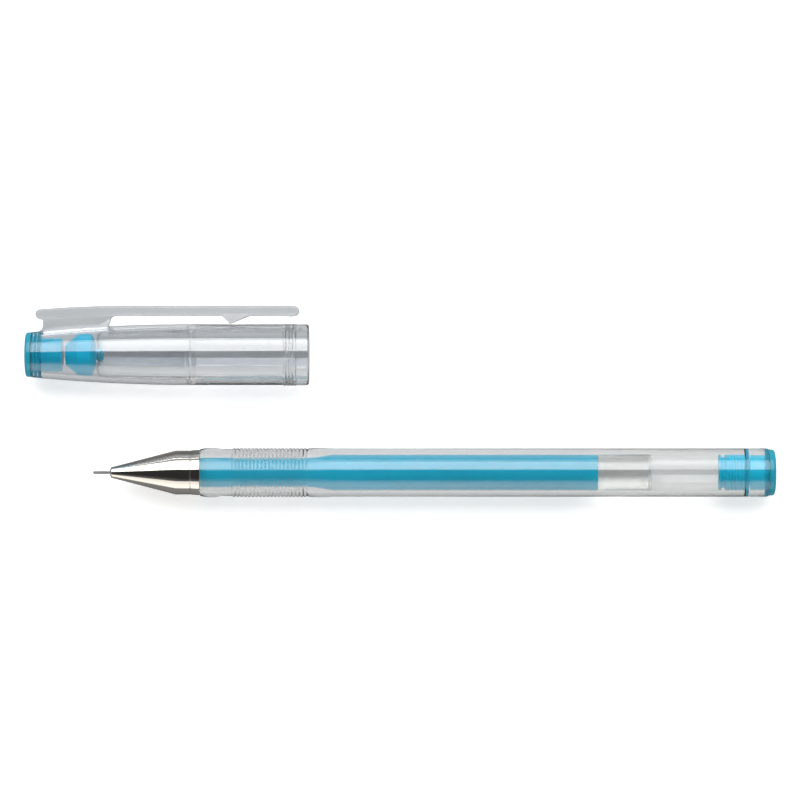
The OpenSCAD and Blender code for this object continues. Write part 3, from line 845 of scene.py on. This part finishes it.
holder_outline = [
    (holder_front, needle_r), (holder_front, inside_cone(holder_front)),
    (holder_collar_x - 0.8, inside_cone(holder_collar_x - 0.8)),
    (holder_collar_x, slim_r), (tube_front, slim_r), (tube_front, slim_tank_r - 0.02),
    (holder_end - 0.4, slim_tank_r - 0.02), (holder_end, slim_tank_r - 0.3),
    (holder_end, 0.6), (needle_end, 0.6), (needle_end, needle_r),
]
tip_holder = turned("tip_holder_moulded", soften(holder_outline, 0.06), pen_axis, holder_plastic, segments=96)
stand_for(tip_holder, "refill", "holder_plastic", "tip_holder")


def needle_outline():
    seat_r = ball_r + 0.015
    lip_x = 0.6 * ball_r
    lip_r = math.sqrt(seat_r ** 2 - (ball_r - lip_x) ** 2)
    pipe_r = 0.6 * ball_r
    seat_from = math.degrees(math.atan2(lip_r, ball_r - lip_x))
    seat_to = 180 - math.degrees(math.asin(pipe_r / seat_r))
    seat = arc(ball_r, 0, -seat_r, seat_r, stretch(seat_from, seat_to, 8))
    outer = [(needle_end, pipe_r), (needle_end, needle_r - 0.01), (lip_x + 0.45, needle_r - 0.01),
             (lip_x + 0.2, needle_r - 0.02), (lip_x, lip_r + 0.02)]
    return seat + outer


needle = turned("needle_pipe", needle_outline(), pen_axis, needle_steel, segments=64)
stand_for(needle, "refill", "needle_steel", "needle")
ball_outline = arc(ball_r, 0, -ball_r, ball_r, stretch(0, 180, 24))
ball = turned("writing_ball_polished", ball_outline, pen_axis, ball_carbide, segments=48, closed=False)
stand_for(ball, "ball", "ball_carbide", "writing_ball")

# %% [markdown]
# ## The cap
# The cap swells from its closed end in a curve that is quick at first and then levels out. Near the mouth is
# a slightly raised band of four fine rings with grooves between. Inside are a seat for the end plug, a small
# ridge that keeps the inner cap in, and the plain bore that slides over the grip.

# %% Sizes that the cap shares with its inside
shell_start = along_cap("cap_end_plug")[0] + 1.2
cap_end = along_cap("cap_shell")[1]
bead_r = width_of("cap_shell") / 2
cap_r = bead_r - 0.12
cap_bore_r = grip_r + 0.12
cap_wall = cap_r - cap_bore_r
cap_end_r = 4.2
swell_l = 29.7
seat_end = shell_start + 1.9
inner_front, inner_end = along_cap("inner_cap")
end_seat_r = cap_end_r - 0.6
band_l = 2.5
band_end = cap_end - 2.3
ring_h = 0.14
ring_count = 4
print("cap radius:", round(cap_r, 2), "bore radius:", round(cap_bore_r, 2))


# %% Make the cap's tube
def cap_at(u):
    """Outer radius of the cap at u from its closed end."""
    t = min(1, max(0, (u - shell_start) / swell_l))
    return cap_end_r + (cap_r - cap_end_r) * t * (2 - t)


def cap_outline():
    outside = [(u, cap_at(u)) for u in stretch(shell_start, shell_start + swell_l, 24)]
    ring_bed = evenly(band_end - band_l, band_end, bead_r - ring_h, 0.04)
    band = [(band_end - band_l - 0.15, cap_r)] + ring_bed + [(band_end + 0.15, cap_r)]
    mouth = [(cap_end - 0.35, cap_r), (cap_end - 0.12, cap_r - 0.1), (cap_end, cap_r - 0.3),
             (cap_end, cap_bore_r + 0.2), (cap_end - 0.2, cap_bore_r)]
    ridge_r = cap_bore_r - 0.16
    ridge = [(inner_end + 1.47, cap_bore_r), (inner_end + 0.82, ridge_r),
             (inner_end + 0.31, ridge_r), (inner_end + 0.02, cap_bore_r)]
    inside = [(u, cap_at(u) - cap_wall) for u in stretch(inner_end, seat_end, 20)]
    seat = [(seat_end, end_seat_r), (shell_start, end_seat_r)]
    return outside + band + mouth + ridge + inside + seat


band_rings = {
    "First_Rib": band_end - band_l, "Pitch": band_l / ring_count, "Count": ring_count, "Height": ring_h,
    "Above_Radius": cap_r - 0.1,
}
cap_tube = turned("cap_tube_clear", soften(cap_outline(), 0.1), cap_axis, cap_plastic, waves=(band_rings,))
stand_for(cap_tube, "cap", "clear_plastic", "cap_shell")

# %% [markdown]
# ## Inside the cap
# A blue plug closes the end, with fine grooves where it snaps in. Behind it sits a soft seal: a tapered boss,
# a thick body and a domed nose that the needle's tip presses into. The frosted inner cap grips the cone's
# collar, so that the ink can't dry out.

# %% Make the end plug
plug_stem_end = along_cap("cap_end_plug")[1]
end_stem_r = 3.1


def end_plug_outline():
    flange = cap_end_r - 0.05
    edge = 0.5
    dome_h = 0.12
    face = [(0, 0), (0.02, 1.2), (0.06, 2.4), (dome_h, flange - edge)]
    rounding = arc(dome_h + edge, flange - edge, -edge, edge, range(10, 91, 10))
    plug_r = end_seat_r + touch
    groove_r = end_seat_r - 0.1
    seat = [(shell_start - 0.02, flange), (shell_start - 0.02, plug_r)]
    for groove in (shell_start + 0.45, shell_start + 1.15):
        seat += [(groove, plug_r), (groove + 0.05, groove_r),
                 (groove + 0.15, groove_r), (groove + 0.2, plug_r)]
    stem = [(seat_end - 0.02, plug_r), (seat_end, end_stem_r), (plug_stem_end - 0.1, end_stem_r),
            (plug_stem_end, end_stem_r - 0.15), (plug_stem_end, 0)]
    return face + rounding + seat + stem


end_plug_line = soften(end_plug_outline(), 0.04, closed=False)
end_plug = turned("cap_end_plug_blue", end_plug_line, cap_axis, blue_plastic, closed=False)
stand_for(end_plug, "cap", "blue_plastic", "cap_end_plug")

# %% Make the tip seal and the inner cap
seal_front, seal_end = along_cap("tip_seal")
seal_r = width_of("tip_seal") / 2
boss_r = 1.9
nose_r = 1.4
pit_r = needle_r + 0.1


def seal_outline():
    body = inner_front - 3.8
    boss = [(seal_front, 0), (seal_front, boss_r), (body, seal_r - 0.3)]
    middle = [(body + 0.4, seal_r), (inner_front - 1, seal_r),
              (inner_front - 0.01, nose_r + 0.2), (inner_front - 0.01, nose_r)]
    dome_l = 0.8
    dome = arc(seal_end - dome_l, pit_r, dome_l, nose_r - pit_r, range(90, -1, -10))
    return boss + middle + dome + [(seal_end - 1.0, pit_r), (seal_end - 1.1, 0)]


seal_line = soften(seal_outline(), 0.15, closed=False, bend=25)
tip_seal = turned("tip_seal_soft", seal_line, cap_axis, seal_rubber, closed=False)
stand_for(tip_seal, "cap", "seal_rubber", "tip_seal")


def inner_cap_outline():
    rim_r = collar_r + 0.04
    rim_x = inner_end - 3
    flange_x = inner_end - 0.6

    def sleeve(u):
        return cap_at(u) - cap_wall - 0.15

    front = [(inner_front, nose_r + 0.02), (inner_front, sleeve(inner_front) - 0.5)]
    outside = [(u, sleeve(u)) for u in stretch(inner_front + 0.5, flange_x - 0.2, 16)]
    flange_r = cap_at(flange_x) - cap_wall + 0.01
    rim = [(flange_x, flange_r), (inner_end - 0.12, flange_r), (inner_end, flange_r - 0.2),
           (inner_end, rim_r + 0.1), (inner_end - 0.15, rim_r), (rim_x + 0.3, rim_r)]
    inside = [(u, min(rim_r, sleeve(u) - 0.5)) for u in stretch(rim_x, inner_front + 0.7, 16)]
    return front + outside + rim + inside + [(inner_front + 0.7, nose_r + 0.02)]


inner_cap = turned("inner_cap_frosted", soften(inner_cap_outline(), 0.12, bend=25), cap_axis, frosted_plastic)
stand_for(inner_cap, "cap", "frosted_plastic", "inner_cap")

# %% [markdown]
# ## The clip
# The clip is moulded with the cap. Its side view is drawn as one outline, with the pocket tooth under it,
# pushed out to its width and bevelled. In the CAD model it is two rigid pieces with a joint between them;
# here it is one bar. The web under it stays with the cap.


# %% Helper: a bevelled plate from a side view
def plate(name, outline, thickness, material, bevel):
    """A closed outline of (along, up) in millimetres from the cap's end and middle line, made a plate."""
    work = bmesh.new()
    base = [work.verts.new((x * MM, y * MM, -thickness / 2 * MM)) for x, y in outline]
    face = work.faces.new(base)
    grown = bmesh.ops.extrude_face_region(work, geom=[face])
    moved = [v for v in grown["geom"] if isinstance(v, bmesh.types.BMVert)]
    bmesh.ops.translate(work, verts=moved, vec=(0, 0, thickness * MM))
    bmesh.ops.translate(work, verts=work.verts, vec=cap_axis)
    bmesh.ops.recalc_face_normals(work, faces=work.faces)
    mesh = bpy.data.meshes.new(name)
    work.to_mesh(mesh)
    work.free()
    mesh.materials.append(material)
    maker = add_object(name + " maker", mesh)
    rounder = maker.modifiers.new("Bevel", "BEVEL")
    rounder.width = bevel * MM
    rounder.segments = 4
    rounder.limit_method = "ANGLE"
    rounder.angle_limit = math.radians(50)
    return face_outwards(plain_mesh(maker, name), 35)


# %% Make the clip
clip_t = 1.9
clip_w = width_of("clip_arm")
clip_end = along_cap("clip_arm")[1]
web_from = shell_start + 2.1
web_l = 12.6
clip_start = web_from - 1.3
clip_top_y = (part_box("clip_arm")[1].y - cap_axis.y) / MM
clip_under_y = clip_top_y - clip_t
drop = 0.7
drop_l = 17
tooth_x = clip_end - 12.8


def dropped(u):
    """How far the clip lies lower at u, towards its root."""
    return drop * max(0, 1 - (u - clip_start) / drop_l) ** 2


def clip_outline():
    half = clip_t / 2
    root_x = clip_start + half
    root = arc(root_x, clip_under_y - dropped(root_x) + half, half, half, stretch(270, 90, 10))
    top = [(u, clip_top_y - dropped(u)) for u in stretch(root_x + 0.6, clip_end - half - 0.6, 90)]
    free = arc(clip_end - half, clip_under_y + half, half, half, stretch(90, -90, 10))
    lip = [(clip_end - 1.5, clip_under_y - 0.1), (clip_end - 2.4, clip_under_y)]
    back = [(u, clip_under_y) for u in stretch(clip_end - 3, tooth_x + 3.6, 8)]
    tooth = [(tooth_x + 3.5, clip_under_y), (tooth_x + 0.25, cap_r + 0.16), (tooth_x, cap_r + 0.1),
             (tooth_x - 0.2, cap_r + 0.16), (tooth_x - 1.5, clip_under_y)]
    under = [(u, clip_under_y - dropped(u)) for u in stretch(tooth_x - 1.8, root_x + 0.6, 70)]
    return root + top + free + lip + back + tooth + under


clip = plate("clip_bar_misty", clip_outline(), clip_w, misty_plastic, 0.6)
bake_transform(clip)
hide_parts("clip_arm")


# %% Make the clip's web
def web_outline():
    web_to = web_from + web_l
    foot = [(u, cap_at(u) - 0.05) for u in stretch(web_to - 0.5, web_from - 0.7, 20)]
    rear = [(web_from - 0.25, cap_at(web_from) + 0.25), (web_from, cap_at(web_from) + 0.7)]
    top = [(u, clip_under_y - dropped(u) + 0.05) for u in stretch(web_from, web_to + 0.6, 16)]
    front = [(web_to + 0.1, clip_under_y - 0.35), (web_to - 0.35, cap_at(web_to) + 0.3)]
    return foot + rear + top + front


web = plate("clip_web_clear", web_outline(), 1.7, cap_plastic, 0.12)
stand_for(web, "cap", "clear_plastic")

# %% [markdown]
# ## The table, the lights and the camera
# The table is plain and white. It gives off a little light of its own, so that the pen's shadow stays as
# faint as it is over a lit table, and it is dimmer in reflections and through clear plastic, which gives
# the clear parts their body. Two long soft boxes hang over the pen, one on each side of the camera, with a
# dark gap between them: that gap is the dark stripe down the middle of everything round and shiny. Two weak
# boxes past the ends of the pen light its end faces, and are kept out of reflections.


# %% Make the table
def make_table_material():
    material, tree, shader = start_material("white table", Roughness=0.9, Specular_IOR_Level=0.1)
    place = object_place(tree)
    rays = add_node(tree, "ShaderNodeLightPath").outputs
    through = rays["Is Transmission Ray"]
    mirrored = math_node(tree, "SUBTRACT", rays["Is Glossy Ray"], through)
    mottling = window(tree, noise(tree, place, 14.0, 3.0), 0.3, 0.7, 0.78, 0.82)
    level = math_node(tree, "MULTIPLY", mottling, math_node(tree, "MULTIPLY_ADD", mirrored, -0.75, 1.0))
    level = math_node(tree, "MULTIPLY", level, math_node(tree, "MULTIPLY_ADD", through, -0.6, 1.0))
    tree.links.new(grey(tree, level), shader.inputs["Base Color"])
    shader.inputs["Emission Color"].default_value = (1.0, 1.0, 1.0, 1)
    glow = math_node(tree, "MULTIPLY_ADD", mirrored, -0.45, 0.5)
    glow = math_node(tree, "MULTIPLY_ADD", through, -0.13, glow)
    tree.links.new(glow, shader.inputs["Emission Strength"])
    return material


table_mesh = bpy.data.meshes.new("table")
table_side = 8  # metres from the middle to each edge
corners = [(x * table_side, y * table_side, 0) for x, y in ((-1, -1), (1, -1), (1, 1), (-1, 1))]
table_mesh.from_pydata(corners, [], [(0, 1, 2, 3)])
table_mesh.materials.append(make_table_material())
table = add_object("table", table_mesh)


# %% Hang the lights
def soft_box(name, from_degrees, to_degrees, distance, length, strength, colour, side):
    """A long light over the pen, filling the angles given from straight up, towards the side (x, y)."""
    middle = math.radians((from_degrees + to_degrees) / 2)
    half = math.radians((to_degrees - from_degrees) / 2)
    data = bpy.data.lights.new(name, "AREA")
    data.shape = "RECTANGLE"
    data.size = length
    data.size_y = 2 * distance * math.tan(half)
    data.energy = strength * math.pi * data.size * data.size_y
    data.color = colour
    light = add_object(name, data)
    towards = Vector((side[0] * math.sin(middle), side[1] * math.sin(middle), math.cos(middle)))
    light.location = towards * distance
    if side[1]:
        light.rotation_euler = towards.to_track_quat("Z", "Y").to_euler()
    else:
        light.rotation_euler = (0, side[0] * middle, math.pi / 2)
    light.visible_camera = False
    return light


soft_box("key box", 15, 64, 0.5, 0.9, 2.9, (1.0, 1.0, 1.0), (0, 1))
soft_box("fill box", 47, 90, 0.5, 0.9, 1.0, (1.0, 0.97, 0.92), (0, -1))
for name, side in (("left end box", -1), ("right end box", 1)):
    end_box = soft_box(name, 30, 70, 0.6, 0.9, 0.6, (1.0, 1.0, 1.0), (side, 0))
    end_box.visible_glossy = False

# %% [markdown]
# The rest of the studio is the world: dim overhead, paler towards the horizon, as in a room with dark
# ceiling and light walls.


# %% Make the world
def make_world():
    world = bpy.data.worlds.new("studio")
    world.use_nodes = True
    tree = world.node_tree
    background = tree.nodes["Background"]
    upwards = parts_of(tree, add_node(tree, "ShaderNodeTexCoord").outputs["Generated"])["Z"]
    level = window(tree, upwards, 0.3, 0.85, 0.45, 0.035)
    tree.links.new(grey(tree, level), background.inputs["Color"])
    return world


bpy.context.scene.world = make_world()

# %% [markdown]
# The camera looks straight down through a long lens, so that neither end of the pen is much nearer than the
# other. Colours are shown as they are, with no film curve. Light may pass through many walls of clear
# plastic before it reaches the ink, so rays are allowed that many bounces.

# %% Set the camera
low, high = (Vector(corner) for corner in cad_box)
middle_x, middle_y = (low.x + high.x) / 2, (low.y + high.y) / 2
view_width = 148.8 * MM
camera_height = 0.8
camera_data = bpy.data.cameras.new("camera")
camera_data.lens = camera_data.sensor_width * camera_height / view_width
camera_data.clip_end = 10
camera = add_object("camera", camera_data)
camera.location = (middle_x - 0.1 * MM, middle_y + 0.3 * MM, camera_height + pen_axis.z)
scene = bpy.context.scene
scene.camera = camera
scene.view_settings.view_transform = "Standard"
scene.cycles.blur_glossy = 0.0
scene.cycles.max_bounces = 32
scene.cycles.transmission_bounces = 32
scene.cycles.glossy_bounces = 8
print("camera at", [round(v, 4) for v in camera.location], "lens", round(camera_data.lens, 1), "mm")
